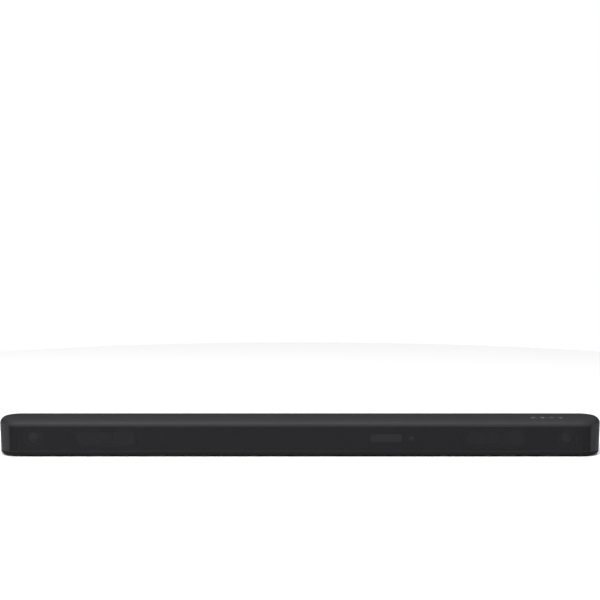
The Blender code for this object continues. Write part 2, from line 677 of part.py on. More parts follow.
make_top_cover()
make_bottom_cover()
make_front_grille()
make_front_baffle()
make_feet()
make_case_screws()
make_keyhole_plates()
make_buttons()
make_button_board()
make_rear_bay()
make_sockets()
make_main_board()
make_power_board()
make_wireless_module()
make_display()
for side_name, side_sign in (("left", -1), ("right", 1)):
    make_woofer(side_name, side_sign * WOOFER_X)
    make_tweeter(side_name, side_sign * TWEETER_X)
make_wiring()
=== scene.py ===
"""Looks of the soundbar: smooth covers, a wrapped honeycomb grille, buttons, sockets and speakers."""
import math

import bmesh
import bpy
from mathutils import Matrix, Vector


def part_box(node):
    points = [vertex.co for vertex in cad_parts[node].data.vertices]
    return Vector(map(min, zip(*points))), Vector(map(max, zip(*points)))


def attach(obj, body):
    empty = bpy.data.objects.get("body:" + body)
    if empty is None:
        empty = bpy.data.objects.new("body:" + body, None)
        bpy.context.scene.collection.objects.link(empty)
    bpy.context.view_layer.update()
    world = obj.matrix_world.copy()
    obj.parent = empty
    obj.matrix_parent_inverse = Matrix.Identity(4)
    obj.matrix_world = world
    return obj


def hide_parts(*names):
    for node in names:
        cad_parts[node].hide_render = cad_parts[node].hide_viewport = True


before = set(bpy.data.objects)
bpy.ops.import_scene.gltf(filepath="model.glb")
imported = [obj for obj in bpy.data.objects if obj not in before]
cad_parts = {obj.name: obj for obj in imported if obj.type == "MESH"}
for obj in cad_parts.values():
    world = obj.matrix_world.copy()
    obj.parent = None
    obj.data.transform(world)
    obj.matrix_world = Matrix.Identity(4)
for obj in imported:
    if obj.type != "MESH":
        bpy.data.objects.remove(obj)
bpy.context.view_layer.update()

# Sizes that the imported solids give.
COVER_LOW, COVER_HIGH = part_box("top_cover")
BASE_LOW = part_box("bottom_cover")[0]
GRILLE_LOW, GRILLE_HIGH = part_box("front_grille")
LENGTH = COVER_HIGH.x - COVER_LOW.x
FRONT = COVER_LOW.y
BACK = COVER_HIGH.y
TOP = COVER_HIGH.z

# The covers, in metres as everywhere below. The draft draws the ends in towards the floor.
GAP = 0.0003
WALL = 0.0022
PLAN_RADIUS = 0.030
TOP_ROLL = 0.0095
BOTTOM_ROLL = 0.0045
END_DRAFT = 0.030
SEAM = COVER_LOW.z - GAP
CORNER_X = LENGTH / 2 - PLAN_RADIUS
CORNER_Y = FRONT + PLAN_RADIUS
GRILLE_WINDOW_DEPTH = 0.011
LABEL_HALF_X, LABEL_HALF_Y = 0.045, 0.011
LABEL_CORNER = 0.002
LABEL_DEPTH = 0.0003

# Fineness of the meshes, and how far cutting shapes run past the faces that they open.
CORNER_STEPS = 30
ROLL_STEPS = 10
ARC_STEPS = 28
RACETRACK_POINTS = 72
SOFT_EDGE = 0.00025
FINE_EDGE = 0.0002
THIN_EDGE = 0.00015
SHELL_EDGE = 0.00008
SHARP_ANGLE = math.radians(50)
TINY = 1e-6
OVERRUN = 0.001
CUT_REACH = 0.006

# Screw bosses of the top cover, and the wells and holes of the bottom cover that meet them.
BOSS_RADIUS = 0.0040
BOSS_LOW = 0.0100
WELL_RADIUS = 0.0050
WELL_OVERLAP = 0.0012
WELL_TOP = 0.0097
HEAD_HOLE_RADIUS = 0.0034
HEAD_SEAT = 0.0075
SHANK_HOLE_RADIUS = 0.0016
SHANK_HOLE_TOP = 0.0120

# Pan-head screw; the head's outline is radius and height above its low face.
HEAD_HEIGHT = 0.0018
HEAD_PROFILE = ((0.0030, HEAD_HEIGHT), (0.0030, 0.0010), (0.0026, 0.0004), (0.0018, 0), (0, 0))
NECK = 0.0004
CORE_RADIUS = 0.0010
THREAD_RADIUS = 0.0013
THREAD_PITCH = 0.0005
PLAIN_LENGTH = 0.0020
TIP_RADIUS = 0.0004
TIP_LENGTH = 0.0008
RECESS_LONG, RECESS_WIDE = 0.0017, 0.0004
RECESS_DEPTH = 0.0012
RECESS_TAPER = 0.55

# Wall keyholes in the steel plates, and the wider holes in the cover over them.
KEYHOLE_PLATES = ("keyhole_plate_left", "keyhole_plate_right")
KEYHOLE_RISE = 0.011
KEYHOLE_TRAVEL = 0.010
KEYHOLE_ROUND = 0.98
ENTRY_RADIUS, SLOT_RADIUS = 0.0050, 0.0026
COVER_ENTRY_RADIUS, COVER_SLOT_RADIUS = 0.0055, 0.0030
PLATE_CORNER = 0.0020

# Honeycomb perforation of the grille.
ROWS = 17
HEM = 0.0009
CELL = (GRILLE_HIGH.z - GRILLE_LOW.z - 2 * HEM) / ROWS
BAR = 0.0006
HOLE = (CELL - BAR) / math.sqrt(3)
SHEET = 0.0009

# Folded edge of the grille: how far out and how deep along its long edges, and at its end the
# share of the end margin and how deep.
FOLD_RADIUS = 0.0004
FOLD_DEPTH = 0.0012
END_MARGIN = 0.0012
LONG_FOLD = ((0.00022, 0.00006), (0.00034, 0.00018), (FOLD_RADIUS, FOLD_RADIUS),
             (FOLD_RADIUS, FOLD_DEPTH))
END_FOLD = ((0.55, 0.0), (0.85, 0.0001), (1.0, FOLD_RADIUS), (1.0, FOLD_DEPTH))

# Push buttons and their printed symbols.
BUTTONS = ("power", "source", "volume_down", "volume_up")
BUTTON_HALF_X, BUTTON_HALF_Y = 0.0055, 0.0047
BUTTON_CORNER = 0.0025
BUTTON_EDGE = 0.0005
CAP_OVERLAP = 0.0006
COLLAR_THICK = 0.0010
STEM_RADIUS = 0.0015
STEM_OVERLAP = 0.0004
SYMBOL_LINE = 0.00042
SYMBOL_SUNK = 0.00002
SYMBOL_RISE = 0.00003

# Lining of the connection bay.
LINING_CORNER = 0.0027
LINING_INNER_CORNER = 0.0012
LINING_WALL = 0.0016
FLANGE_THICK = 0.0015

# Sockets. Depths are measured inwards from each socket's rear face.
SOCKETS = ("power_inlet", "video_socket", "optical_socket", "aux_socket", "usb_socket")
INLET_LOBE = 0.0044
INLET_SPREAD = 0.0042
INLET_WAIST = 0.0032
INLET_DEPTH = 0.0110
PIN_RADIUS = 0.0012
PIN_SUNK = 0.0020
MOUTH_DEPTH = 0.0090
SHELL_DEPTH = 0.0085
SHELL_SHEET = 0.0003
SHELL_PLAY = 0.00005
TONGUE_ROOT, TONGUE_TIP = 0.0086, 0.0012
CONTACT_ROOT, CONTACT_TIP = 0.0084, 0.0018
CONTACT_PROUD, CONTACT_SUNK = 0.00008, 0.00004
CONTACT_SPREAD = 1.7
CONTACT_SHARE = 0.9
OPTICAL_HALF = 0.0040
OPTICAL_DEPTH = 0.0080
OPTICAL_CORNER = 0.0010
LENS_SUNK = 0.0002
LENS_PROFILE = ((0, 0.0022), (0.0005, 0.0021), (0.0008, 0.0018), (0.0008, 0), (0, 0))
AUX_RADIUS = 0.0018
AUX_DEPTH = 0.0110
COLLAR_LIFT = 0.0002
COLLAR_PROFILE = ((0.00182, 0.0004), (0.0032, 0.0004), (0.0036, 0.0001), (0.0036, -0.0003),
                  (0.00182, -0.0003), (0.00182, 0.0004))

# Feet.
FOOT_CORNER = 0.0050
FOOT_EDGE = 0.0005
PLUG_RADIUS = 0.0020
GROOVES_BESIDE = 4
GROOVE_PITCH = 0.004
GROOVE_HALF = 0.0004
GROOVE_DEPTH = 0.0003

# Woofer surrounds; the height is a share of the half roll's radius.
SURROUND_WIDTH = 0.0050
SURROUND_LIP = 0.0006
SURROUND_SUNK = 0.0006
SURROUND_STEPS = 10
SURROUND_HEIGHT = 0.8
SURROUND_SHEET = 0.0004

HOUSING_BODY = "housing"


# ---------------------------------------------------------------- materials
def linear(red, green, blue):
    """Linear colour from display values of 0 to 255."""
    return tuple((value / 255) ** 2.2 for value in (red, green, blue))


class Look:
    """A Principled material whose colour, roughness and relief come from noise in object space."""

    def __init__(self, name, colour, roughness, metallic=0.0, specular=0.5):
        self.material = bpy.data.materials.new(name)
        self.material.use_nodes = True
        self.nodes = self.material.node_tree.nodes
        self.links = self.material.node_tree.links
        self.shader = self.nodes["Principled BSDF"]
        self.shader.inputs["Base Color"].default_value = (*colour, 1.0)
        self.shader.inputs["Roughness"].default_value = roughness
        self.shader.inputs["Metallic"].default_value = metallic
        self.shader.inputs["Specular IOR Level"].default_value = specular
        self.colour = colour
        self.roughness = roughness
        self.place = self.nodes.new("ShaderNodeTexCoord").outputs["Object"]
        self.height = None
        self.tinted = None

    def stretch(self, scale):
        """Object coordinates scaled along each axis."""
        mapping = self.nodes.new("ShaderNodeMapping")
        mapping.inputs["Scale"].default_value = scale
        self.links.new(self.place, mapping.inputs["Vector"])
        return mapping.outputs["Vector"]

    def noise(self, scale, detail, stretch=None):
        """Value of a noise texture with so many cells to the metre."""
        texture = self.nodes.new("ShaderNodeTexNoise")
        texture.inputs["Scale"].default_value = scale
        texture.inputs["Detail"].default_value = detail
        self.links.new(self.stretch(stretch) if stretch else self.place, texture.inputs["Vector"])
        return texture.outputs["Fac"]

    def spread(self, source, low, high, start=0.3, end=0.7):
        """Map a texture's middle range onto low to high."""
        ranged = self.nodes.new("ShaderNodeMapRange")
        ranged.inputs["From Min"].default_value = start
        ranged.inputs["From Max"].default_value = end
        ranged.inputs["To Min"].default_value = low
        ranged.inputs["To Max"].default_value = high
        self.links.new(source, ranged.inputs["Value"])
        return ranged.outputs["Result"]

    def tint(self, mix, amount):
        """Colour the shader with a mix, by an amount from 0 to 1."""
        self.links.new(amount, mix.inputs["Factor"])
        self.links.new(mix.outputs["Result"], self.shader.inputs["Base Color"])
        self.tinted = mix.outputs["Result"]

    def mottle(self, scale, amount):
        """Colour that drifts lighter and darker by amount."""
        mix = self.nodes.new("ShaderNodeMix")
        mix.data_type = "RGBA"
        mix.inputs["A"].default_value = (*(value * (1 - amount) for value in self.colour), 1.0)
        mix.inputs["B"].default_value = (*(value * (1 + amount) for value in self.colour), 1.0)
        self.tint(mix, self.spread(self.noise(scale, detail=4.0), 0.0, 1.0))

    def fleck(self, colour, scale, start, end, stretch=None):
        """Sparse flecks of another colour over the present one."""
        mix = self.nodes.new("ShaderNodeMix")
        mix.data_type = "RGBA"
        self.links.new(self.tinted, mix.inputs["A"])
        mix.inputs["B"].default_value = (*colour, 1.0)
        self.tint(mix, self.spread(self.noise(scale, 3.0, stretch), 0.0, 1.0, start, end))

    def uneven_gloss(self, scale, amount, stretch=None):
        """Roughness that drifts by amount to each side of its own value."""
        source = self.noise(scale, 3.0, stretch)
        rough = self.spread(source, self.roughness - amount, self.roughness + amount)
        self.links.new(rough, self.shader.inputs["Roughness"])

    def relief(self, source, depth, strength):
        """Bump of a real depth in metres."""
        bump = self.nodes.new("ShaderNodeBump")
        bump.inputs["Distance"].default_value = depth
        bump.inputs["Strength"].default_value = strength
        self.links.new(source, bump.inputs["Height"])
        if self.height:
            self.links.new(self.height, bump.inputs["Normal"])
        self.height = bump.outputs["Normal"]
        self.links.new(self.height, self.shader.inputs["Normal"])

    def grain(self, scale, depth, strength, detail=2.0, stretch=None):
        """Bump from noise."""
        self.relief(self.noise(scale, detail, stretch), depth, strength)

    def cells(self, scale):
        """Value that rises from the middle of each of many small cells."""
        texture = self.nodes.new("ShaderNodeTexVoronoi")
        texture.inputs["Scale"].default_value = scale
        self.links.new(self.place, texture.inputs["Vector"])
        return texture.outputs["Distance"]


def moulded(name, colour, roughness, specular, grain=3200.0):
    """Spark-eroded plastic: a fine pebbled grain over a faint slow unevenness."""
    look = Look(name, colour, roughness, specular=specular)
    look.mottle(scale=22.0, amount=0.035)
    look.fleck(linear(96, 96, 98), scale=900.0, start=0.72, end=0.86)
    look.uneven_gloss(scale=60.0, amount=0.03)
    look.relief(look.cells(grain), depth=0.00003, strength=0.35)
    look.grain(scale=grain * 0.45, depth=0.00003, strength=0.30, detail=3.0)
    return look.material


def coated(name, colour, roughness, specular):
    """Powder coat: soft orange peel."""
    look = Look(name, colour, roughness, specular=specular)
    look.mottle(scale=35.0, amount=0.05)
    look.uneven_gloss(scale=90.0, amount=0.04)
    look.grain(scale=1500.0, depth=0.00002, strength=0.4)
    return look.material


def metal(name, colour, roughness, stretch):
    """Bare metal with fine lines across one direction and slow tarnish."""
    look = Look(name, colour, roughness, metallic=1.0)
    look.mottle(scale=40.0, amount=0.08)
    look.uneven_gloss(scale=300.0, amount=0.08, stretch=stretch)
    look.grain(scale=900.0, depth=0.000006, strength=0.5, detail=3.0, stretch=stretch)
    return look.material


def circuit(name):
    """Green solder mask with copper runs showing through as paler straight tracks, and pads."""
    look = Look(name, linear(16, 74, 42), roughness=0.38)
    tracks = (1.0, 1.0, 0.06)
    look.mottle(scale=60.0, amount=0.15)
    look.fleck(linear(40, 118, 66), scale=260.0, start=0.54, end=0.56, stretch=tracks)
    look.fleck(linear(188, 170, 110), scale=520.0, start=0.69, end=0.70)
    look.grain(scale=260.0, depth=0.00003, strength=0.4, stretch=tracks)
    return look.material


def rubbery(name, colour):
    """Matt rubber with a fine grain."""
    look = Look(name, colour, roughness=0.82, specular=0.3)
    look.mottle(scale=50.0, amount=0.12)
    look.uneven_gloss(scale=200.0, amount=0.05)
    look.grain(scale=2200.0, depth=0.00004, strength=0.5)
    return look.material


def fibrous(name, colour, depth):
    """Pressed pulp or coated cloth: short fibres lying every way."""
    look = Look(name, colour, roughness=0.85, specular=0.25)
    look.mottle(scale=120.0, amount=0.18)
    look.fleck(linear(70, 70, 72), scale=700.0, start=0.66, end=0.80, stretch=(1.0, 1.0, 0.25))
    look.grain(scale=1300.0, depth=depth, strength=0.7, detail=4.0, stretch=(1.0, 0.3, 1.0))
    look.grain(scale=1500.0, depth=depth, strength=0.6, detail=4.0, stretch=(0.3, 1.0, 1.0))
    return look.material


def sintered(name, colour):
    """Pressed and fired powder with pale specks."""
    look = Look(name, colour, roughness=0.62)
    look.mottle(scale=90.0, amount=0.15)
    look.fleck(linear(120, 118, 116), scale=1500.0, start=0.70, end=0.82)
    look.grain(scale=1100.0, depth=0.00005, strength=0.6, detail=4.0)
    return look.material


def glossy(name, colour, roughness):
    """Smooth plastic with the faintest waves."""
    look = Look(name, colour, roughness)
    look.mottle(scale=40.0, amount=0.06)
    look.uneven_gloss(scale=120.0, amount=0.03)
    look.grain(scale=240.0, depth=0.00002, strength=0.2)
    return look.material


# Name, colour and roughness; then the specular level of plastics and coats, and the grain's
# scale where it isn't the usual one; for metals, the stretch of the fine lines.
HOUSING = moulded("housing_plastic", linear(40, 40, 42), 0.54, 0.11)
BASE = moulded("base_plastic", linear(28, 28, 29), 0.70, 0.05)
INNER = moulded("inner_plastic", linear(15, 15, 16), 0.66, 0.15, 2200.0)
CAPS = moulded("button_plastic", linear(45, 45, 47), 0.48, 0.18, 4200.0)
GRILLE = coated("grille_coat", linear(30, 29, 32), 0.60, 0.20)
RUBBER = rubbery("rubber", linear(20, 20, 20))
ZINC = metal("zinc_plate", (0.60, 0.60, 0.58), 0.34, (1.0, 8.0, 1.0))
BRIGHT = metal("plated_shell", (0.66, 0.66, 0.66), 0.28, (6.0, 1.0, 1.0))
GOLD = metal("gold_contact", (0.80, 0.60, 0.26), 0.30, (1.0, 6.0, 1.0))
ALUMINIUM = metal("heatsink_aluminium", (0.74, 0.74, 0.76), 0.38, (1.0, 1.0, 8.0))
BLACK_STEEL = coated("driver_frame_coat", linear(18, 18, 19), 0.60, 0.25)
FERRITE = sintered("ferrite", linear(62, 61, 62))
PAPER = fibrous("cone_paper", linear(40, 40, 42), 0.00006)
SILK = fibrous("dome_silk", linear(58, 57, 60), 0.00002)
BOARD = circuit("circuit_board")
CHIP = moulded("component_plastic", linear(30, 30, 31), 0.50, 0.40, 2600.0)
SLEEVE = glossy("capacitor_sleeve", linear(30, 38, 84), 0.35)
WINDOW = glossy("display_window", linear(18, 18, 20), 0.12)
SHEATH = glossy("cable_sheath", linear(170, 34, 30), 0.45)
PRINT = moulded("symbol_ink", linear(196, 197, 200), 0.55, 0.30, 5000.0)


# ---------------------------------------------------------------- mesh helpers
def middle_of(node):
    """Middle x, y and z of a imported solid."""
    low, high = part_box(node)
    return (low.x + high.x) / 2, (low.y + high.y) / 2, (low.z + high.z) / 2


def case_screws():
    return [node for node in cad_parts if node.startswith("case_screw")]


def block(low, high):
    low, high = Vector(low), Vector(high)
    bm = bmesh.new()
    place = Matrix.Translation((low + high) / 2) @ Matrix.Diagonal((*(high - low), 1.0))
    bmesh.ops.create_cube(bm, size=1.0, matrix=place)
    return bm


def rod(start, end, radius, sides=32):
    start, end = Vector(start), Vector(end)
    turn = (end - start).to_track_quat("Z", "Y").to_matrix().to_4x4()
    bm = bmesh.new()
    bmesh.ops.create_cone(bm, cap_ends=True, segments=sides, radius1=radius, radius2=radius,
                          depth=(end - start).length,
                          matrix=Matrix.Translation((start + end) / 2) @ turn)
    return bm


def edges_along(bm, axis):
    return [e for e in bm.edges
            if abs((e.verts[1].co - e.verts[0].co).normalized()[axis]) > 1 - TINY]


def edges_at(bm, axis, value):
    return [e for e in bm.edges if all(abs(v.co[axis] - value) < TINY for v in e.verts)]


def round_edges(bm, edges, radius, steps):
    bmesh.ops.bevel(bm, geom=edges, offset=radius, segments=steps, profile=0.5,
                    affect="EDGES", clamp_overlap=False)


def rounded_block(low, high, axis, radius, steps=8):
    bm = block(low, high)
    round_edges(bm, edges_along(bm, axis), radius, steps)
    return bm


def plan_block(low, high):
    """Block with the bar's outline seen from above."""
    return rounded_block((-LENGTH / 2, FRONT, low), (LENGTH / 2, BACK, high), 2, PLAN_RADIUS,
                         CORNER_STEPS)


def lean(x, z):
    """x of a point once the rounded ends have been drawn in towards the floor."""
    share = (abs(x) - CORNER_X) / PLAN_RADIUS
    drop = TOP - TOP_ROLL - z
    if share <= 0 or drop <= 0:
        return x
    return x - math.copysign(share * drop * END_DRAFT, x)


def lean_ends(bm):
    for vert in bm.verts:
        vert.co.x = lean(vert.co.x, vert.co.z)
    return bm


def new_object(name, bm):
    mesh = bpy.data.meshes.new(name)
    bm.to_mesh(mesh)
    bm.free()
    made = bpy.data.objects.new(name, mesh)
    bpy.context.scene.collection.objects.link(made)
    return made


def settle(target):
    """Apply an object's modifiers to its mesh."""
    graph = bpy.context.evaluated_depsgraph_get()
    mesh = bpy.data.meshes.new_from_object(target.evaluated_get(graph))
    old = target.data
    target.modifiers.clear()
    target.data = mesh
    bpy.data.meshes.remove(old)


def carve(target, shapes, operation="DIFFERENCE"):
    """Cut shapes out of an object, or join them on."""
    cutters = []
    for shape in shapes:
        cutter = new_object("cutter", shape)
        modifier = target.modifiers.new(operation, "BOOLEAN")
        modifier.operation = operation
        modifier.object = cutter
        modifier.solver = "EXACT"
        cutters.append(cutter)
    settle(target)
    for cutter in cutters:
        mesh = cutter.data
        bpy.data.objects.remove(cutter)
        bpy.data.meshes.remove(mesh)


def solidify(target, thickness):
    """Give a surface a wall on its inner side."""
    modifier = target.modifiers.new("wall", "SOLIDIFY")
    modifier.thickness = thickness
    modifier.offset = -1.0
    modifier.use_even_offset = True
    settle(target)


def soften(target, width=SOFT_EDGE, segments=2):
    """Small radius on every sharp edge, with normals that keep flat faces flat."""
    bevel = target.modifiers.new("soft_edge", "BEVEL")
    bevel.width = width
    bevel.segments = segments
    bevel.limit_method = "ANGLE"
    bevel.angle_limit = SHARP_ANGLE
    bevel.use_clamp_overlap = True
    settle(target)
    smooth(target)
    flatten = target.modifiers.new("flat_faces", "WEIGHTED_NORMAL")
    flatten.weight = 100
    flatten.keep_sharp = True
    settle(target)


def smooth(target, angle=35.0):
    target.data.shade_smooth()
    target.data.set_sharp_from_angle(angle=math.radians(angle))


def dress(target, material, body=HOUSING_BODY, replaces=()):
    """Give a piece its material and the body that it rides on."""
    target.data.materials.clear()
    target.data.materials.append(material)
    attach(target, body)
    if replaces:
        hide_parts(*replaces)


def turned(profile, steps):
    """Surface of revolution about Z through (radius, height) pairs."""
    bm = bmesh.new()
    verts = [bm.verts.new((radius, 0, height)) for radius, height in profile]
    edges = [bm.edges.new(pair) for pair in zip(verts, verts[1:])]
    bmesh.ops.spin(bm, geom=verts + edges, cent=(0, 0, 0), axis=(0, 0, 1), angle=2 * math.pi,
                   steps=steps, use_merge=True)
    bmesh.ops.remove_doubles(bm, verts=bm.verts, dist=TINY)
    bmesh.ops.recalc_face_normals(bm, faces=bm.faces)
    return bm


# ---------------------------------------------------------------- covers
def open_shell(rolled, open_end, roll):
    """Surface with the bar's outline, rolled over at one height and open at the other."""
    bm = plan_block(min(rolled, open_end), max(rolled, open_end))
    round_edges(bm, edges_at(bm, 2, rolled), roll, ROLL_STEPS)
    face = [f for f in bm.faces if all(abs(v.co.z - open_end) < TINY for v in f.verts)]
    bmesh.ops.delete(bm, geom=face, context="FACES")
    return lean_ends(bm)


def button_hole(name):
    x, y, _ = middle_of(f"{name}_button")
    half_x = BUTTON_HALF_X + GAP
    half_y = BUTTON_HALF_Y + GAP
    return rounded_block((x - half_x, y - half_y, TOP - CUT_REACH),
                         (x + half_x, y + half_y, TOP + CUT_REACH), 2, BUTTON_CORNER + GAP)


def keyhole_shapes(plate, entry_radius, slot_radius, low_y, high_y):
    """Entry and slot of one wall keyhole, centred on its plate."""
    x = middle_of(plate)[0]
    entry_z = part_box(plate)[0].z + KEYHOLE_RISE
    slot_top = entry_z + KEYHOLE_TRAVEL + slot_radius
    return [rod((x, low_y, entry_z), (x, high_y, entry_z), entry_radius, sides=48),
            rounded_block((x - slot_radius, low_y, entry_z), (x + slot_radius, high_y, slot_top),
                          1, slot_radius * KEYHOLE_ROUND)]


def make_top_cover():
    cover = new_object("cover_shell", open_shell(TOP, COVER_LOW.z, TOP_ROLL))
    solidify(cover, WALL)
    bosses = []
    for name in ("rear_outer_left", "rear_inner_left", "rear_inner_right", "rear_outer_right"):
        x, y, _ = middle_of(f"case_screw_{name}")
        bosses.append(rod((x, y, BOSS_LOW), (x, y, TOP - WALL + OVERRUN), BOSS_RADIUS))
    carve(cover, bosses, "UNION")
    half = GRILLE_HIGH.x + GAP
    bay_low, bay_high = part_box("rear_port_panel")
    shapes = [lean_ends(block((-half, FRONT - CUT_REACH, 0),
                              (half, FRONT + GRILLE_WINDOW_DEPTH, TOP - TOP_ROLL))),
              rounded_block((bay_low.x - GAP, BACK - CUT_REACH, bay_low.z - GAP),
                            (bay_high.x + GAP, BACK + CUT_REACH, bay_high.z + GAP),
                            1, LINING_CORNER + GAP)]
    shapes += [button_hole(name) for name in BUTTONS]
    for plate in KEYHOLE_PLATES:
        shapes += keyhole_shapes(plate, COVER_ENTRY_RADIUS, COVER_SLOT_RADIUS,
                                 BACK - CUT_REACH, BACK + CUT_REACH)
    carve(cover, shapes)
    soften(cover)
    dress(cover, HOUSING, replaces=("top_cover",))


def make_bottom_cover():
    """Tray with screw wells that rise to the top cover, and a recess for a label underneath."""
    cover = new_object("base_tray", open_shell(BASE_LOW.z, SEAM, BOTTOM_ROLL))
    solidify(cover, WALL)
    wells, holes = [], []
    for node in case_screws():
        x, y, _ = middle_of(node)
        wells.append(rod((x, y, BASE_LOW.z + WELL_OVERLAP), (x, y, WELL_TOP), WELL_RADIUS))
        holes.append(rod((x, y, 0), (x, y, HEAD_SEAT), HEAD_HOLE_RADIUS))
        holes.append(rod((x, y, 0), (x, y, SHANK_HOLE_TOP), SHANK_HOLE_RADIUS))
    carve(cover, wells, "UNION")
    holes.append(rounded_block((-LABEL_HALF_X, -LABEL_HALF_Y, 0),
                               (LABEL_HALF_X, LABEL_HALF_Y, BASE_LOW.z + LABEL_DEPTH),
                               2, LABEL_CORNER))
    carve(cover, holes)
    soften(cover)
    dress(cover, BASE, replaces=("bottom_cover",))


# ---------------------------------------------------------------- grille
def front_point(along, depth):
    """Point on the wrapped front at a distance along it from the middle, sunk by depth."""
    turn = max(0.0, abs(along) - CORNER_X) / PLAN_RADIUS
    side = math.copysign(1.0, along)
    if turn == 0.0:
        return along, FRONT + depth
    reach = PLAN_RADIUS - depth
    return side * (CORNER_X + reach * math.sin(turn)), CORNER_Y - reach * math.cos(turn)


class GrilleHalf:
    """Half of the honeycomb sheet, from the middle of the bar (side is 1 or -1) to one end."""

    def __init__(self, side):
        wrap = math.asin((GRILLE_HIGH.x - CORNER_X) / PLAN_RADIUS)
        self.side = side
        self.run = CORNER_X + PLAN_RADIUS * wrap
        self.columns = int(self.run / (CELL * math.sqrt(3) / 2))
        flat_run = self.run - END_MARGIN
        steps = [GRILLE_LOW.z + HEM + CELL / 2 * step for step in range(2 * ROWS + 1)]
        self.levels = [GRILLE_LOW.z + FOLD_RADIUS, *steps, GRILLE_HIGH.z - FOLD_RADIUS]
        self.lines = [side * flat_run * column / self.columns for column in range(self.columns + 1)]
        self.verts = []
        self.faces = []
        self.grid = [[self.vertex(along, z, 0.0) for z in self.levels] for along in self.lines]

    def vertex(self, along, z, depth):
        x, y = front_point(along, depth)
        self.verts.append((lean(x, z), y, z))
        return len(self.verts) - 1

    def strip(self, first, second):
        """Faces between two rows with the same number of points."""
        for index in range(len(first) - 1):
            self.faces.append((first[index], first[index + 1], second[index + 1], second[index]))

    def plain(self, column, level):
        """One face without a hole."""
        left, right = self.grid[column], self.grid[column + 1]
        self.faces.append((left[level], right[level], right[level + 1], left[level + 1]))

    def cell(self, column, level):
        """Faces of one cell that starts at a level: six round its hole, six down into it."""
        left, right = self.grid[column], self.grid[column + 1]
        rim = [left[level], right[level], right[level + 1], right[level + 2], left[level + 2],
               left[level + 1]]
        middle_along = (self.lines[column] + self.lines[column + 1]) / 2
        middle_z = self.levels[level + 1]
        edge, deep = [], []
        for angle in (-120, -60, 0, 60, 120, 180):
            turn = math.radians(angle)
            along = middle_along + self.side * HOLE * math.cos(turn)
            z = middle_z + HOLE * math.sin(turn)
            edge.append(self.vertex(along, z, 0.0))
            deep.append(self.vertex(along, z, SHEET))
        for index in range(6):
            after = (index + 1) % 6
            self.faces.append((rim[index], rim[after], edge[after], edge[index]))
            self.faces.append((edge[index], edge[after], deep[after], deep[index]))

    def pierce(self):
        """Cells in columns, every other column half a cell higher, between plain margins."""
        last = len(self.levels) - 2
        for column in range(self.columns):
            shifted = column % 2
            self.plain(column, 0)
            self.plain(column, last)
            for step in range(shifted, 2 * ROWS - shifted, 2):
                self.cell(column, 1 + step)
            if shifted:
                self.plain(column, 1)
                self.plain(column, last - 1)

    def fold(self):
        """A small radius along both long edges and the end, then a return towards the inside."""
        low_row = [column[0] for column in self.grid]
        high_row = [column[-1] for column in self.grid]
        for out, depth in LONG_FOLD:
            low_next = [self.vertex(along, self.levels[0] - out, depth) for along in self.lines]
            high_next = [self.vertex(along, self.levels[-1] + out, depth) for along in self.lines]
            self.strip(low_next, low_row)
            self.strip(high_row, high_next)
            low_row, high_row = low_next, high_next
        end_row = self.grid[-1]
        start = abs(self.lines[-1])
        for share, depth in END_FOLD:
            along = self.side * (start + (self.run - start) * share)
            end_next = [self.vertex(along, z, depth) for z in self.levels]
            self.strip(end_next, end_row)
            end_row = end_next


def make_grille_half(name, side, replaces):
    sheet = GrilleHalf(side)
    sheet.pierce()
    sheet.fold()
    faces = sheet.faces if side > 0 else [face[::-1] for face in sheet.faces]
    mesh = bpy.data.meshes.new(name)
    mesh.from_pydata(sheet.verts, [], faces)
    half = bpy.data.objects.new(name, mesh)
    bpy.context.scene.collection.objects.link(half)
    smooth(half)
    dress(half, GRILLE, replaces=replaces)


# ---------------------------------------------------------------- buttons
def arc(centre, radius, start, end):
    """Points on part of a circle, angles in degrees."""
    angles = [math.radians(start + (end - start) * step / ARC_STEPS)
              for step in range(ARC_STEPS + 1)]
    return [(centre[0] + radius * math.cos(a), centre[1] + radius * math.sin(a)) for a in angles]


# Lines of each printed symbol, in metres from the middle of its button.
SYMBOLS = {
    "power": [arc((0, -0.0002), 0.0019, 125, 415), [(0, 0.0025), (0, 0.0003)]],
    "source": [[(-0.0003, 0.0018), (0.0018, 0.0018), (0.0018, -0.0018), (-0.0003, -0.0018)],
               [(-0.0023, 0), (0.0006, 0)], [(-0.0005, 0.0010), (0.0006, 0), (-0.0005, -0.0010)]],
    "volume_down": [[(-0.0017, 0), (0.0017, 0)]],
    "volume_up": [[(-0.0017, 0), (0.0017, 0)], [(0, -0.0017), (0, 0.0017)]],
}


def stroke(bm, points, low, high):
    """Raised line of a printed symbol through flat points."""
    rings = []
    for index, point in enumerate(points):
        before = points[max(index - 1, 0)]
        after = points[min(index + 1, len(points) - 1)]
        heading = Vector((after[0] - before[0], after[1] - before[1])).normalized()
        side = Vector((-heading.y, heading.x)) * SYMBOL_LINE / 2
        ring = []
        for sign, z in ((1, low), (-1, low), (-1, high), (1, high)):
            ring.append(bm.verts.new((point[0] + sign * side.x, point[1] + sign * side.y, z)))
        rings.append(ring)
    for first, second in zip(rings, rings[1:]):
        for index in range(4):
            after = (index + 1) % 4
            bm.faces.new((first[index], first[after], second[after], second[index]))
    bm.faces.new(rings[0])
    bm.faces.new(rings[-1])


def make_symbol(name):
    node = f"{name}_button"
    x, y, _ = middle_of(node)
    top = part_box(node)[1].z
    bm = bmesh.new()
    for line in SYMBOLS[name]:
        points = [(x + across, y + along) for across, along in line]
        stroke(bm, points, top - SYMBOL_SUNK, top + SYMBOL_RISE)
    bmesh.ops.recalc_face_normals(bm, faces=bm.faces)
    dress(new_object(f"{name}_symbol", bm), PRINT, node)


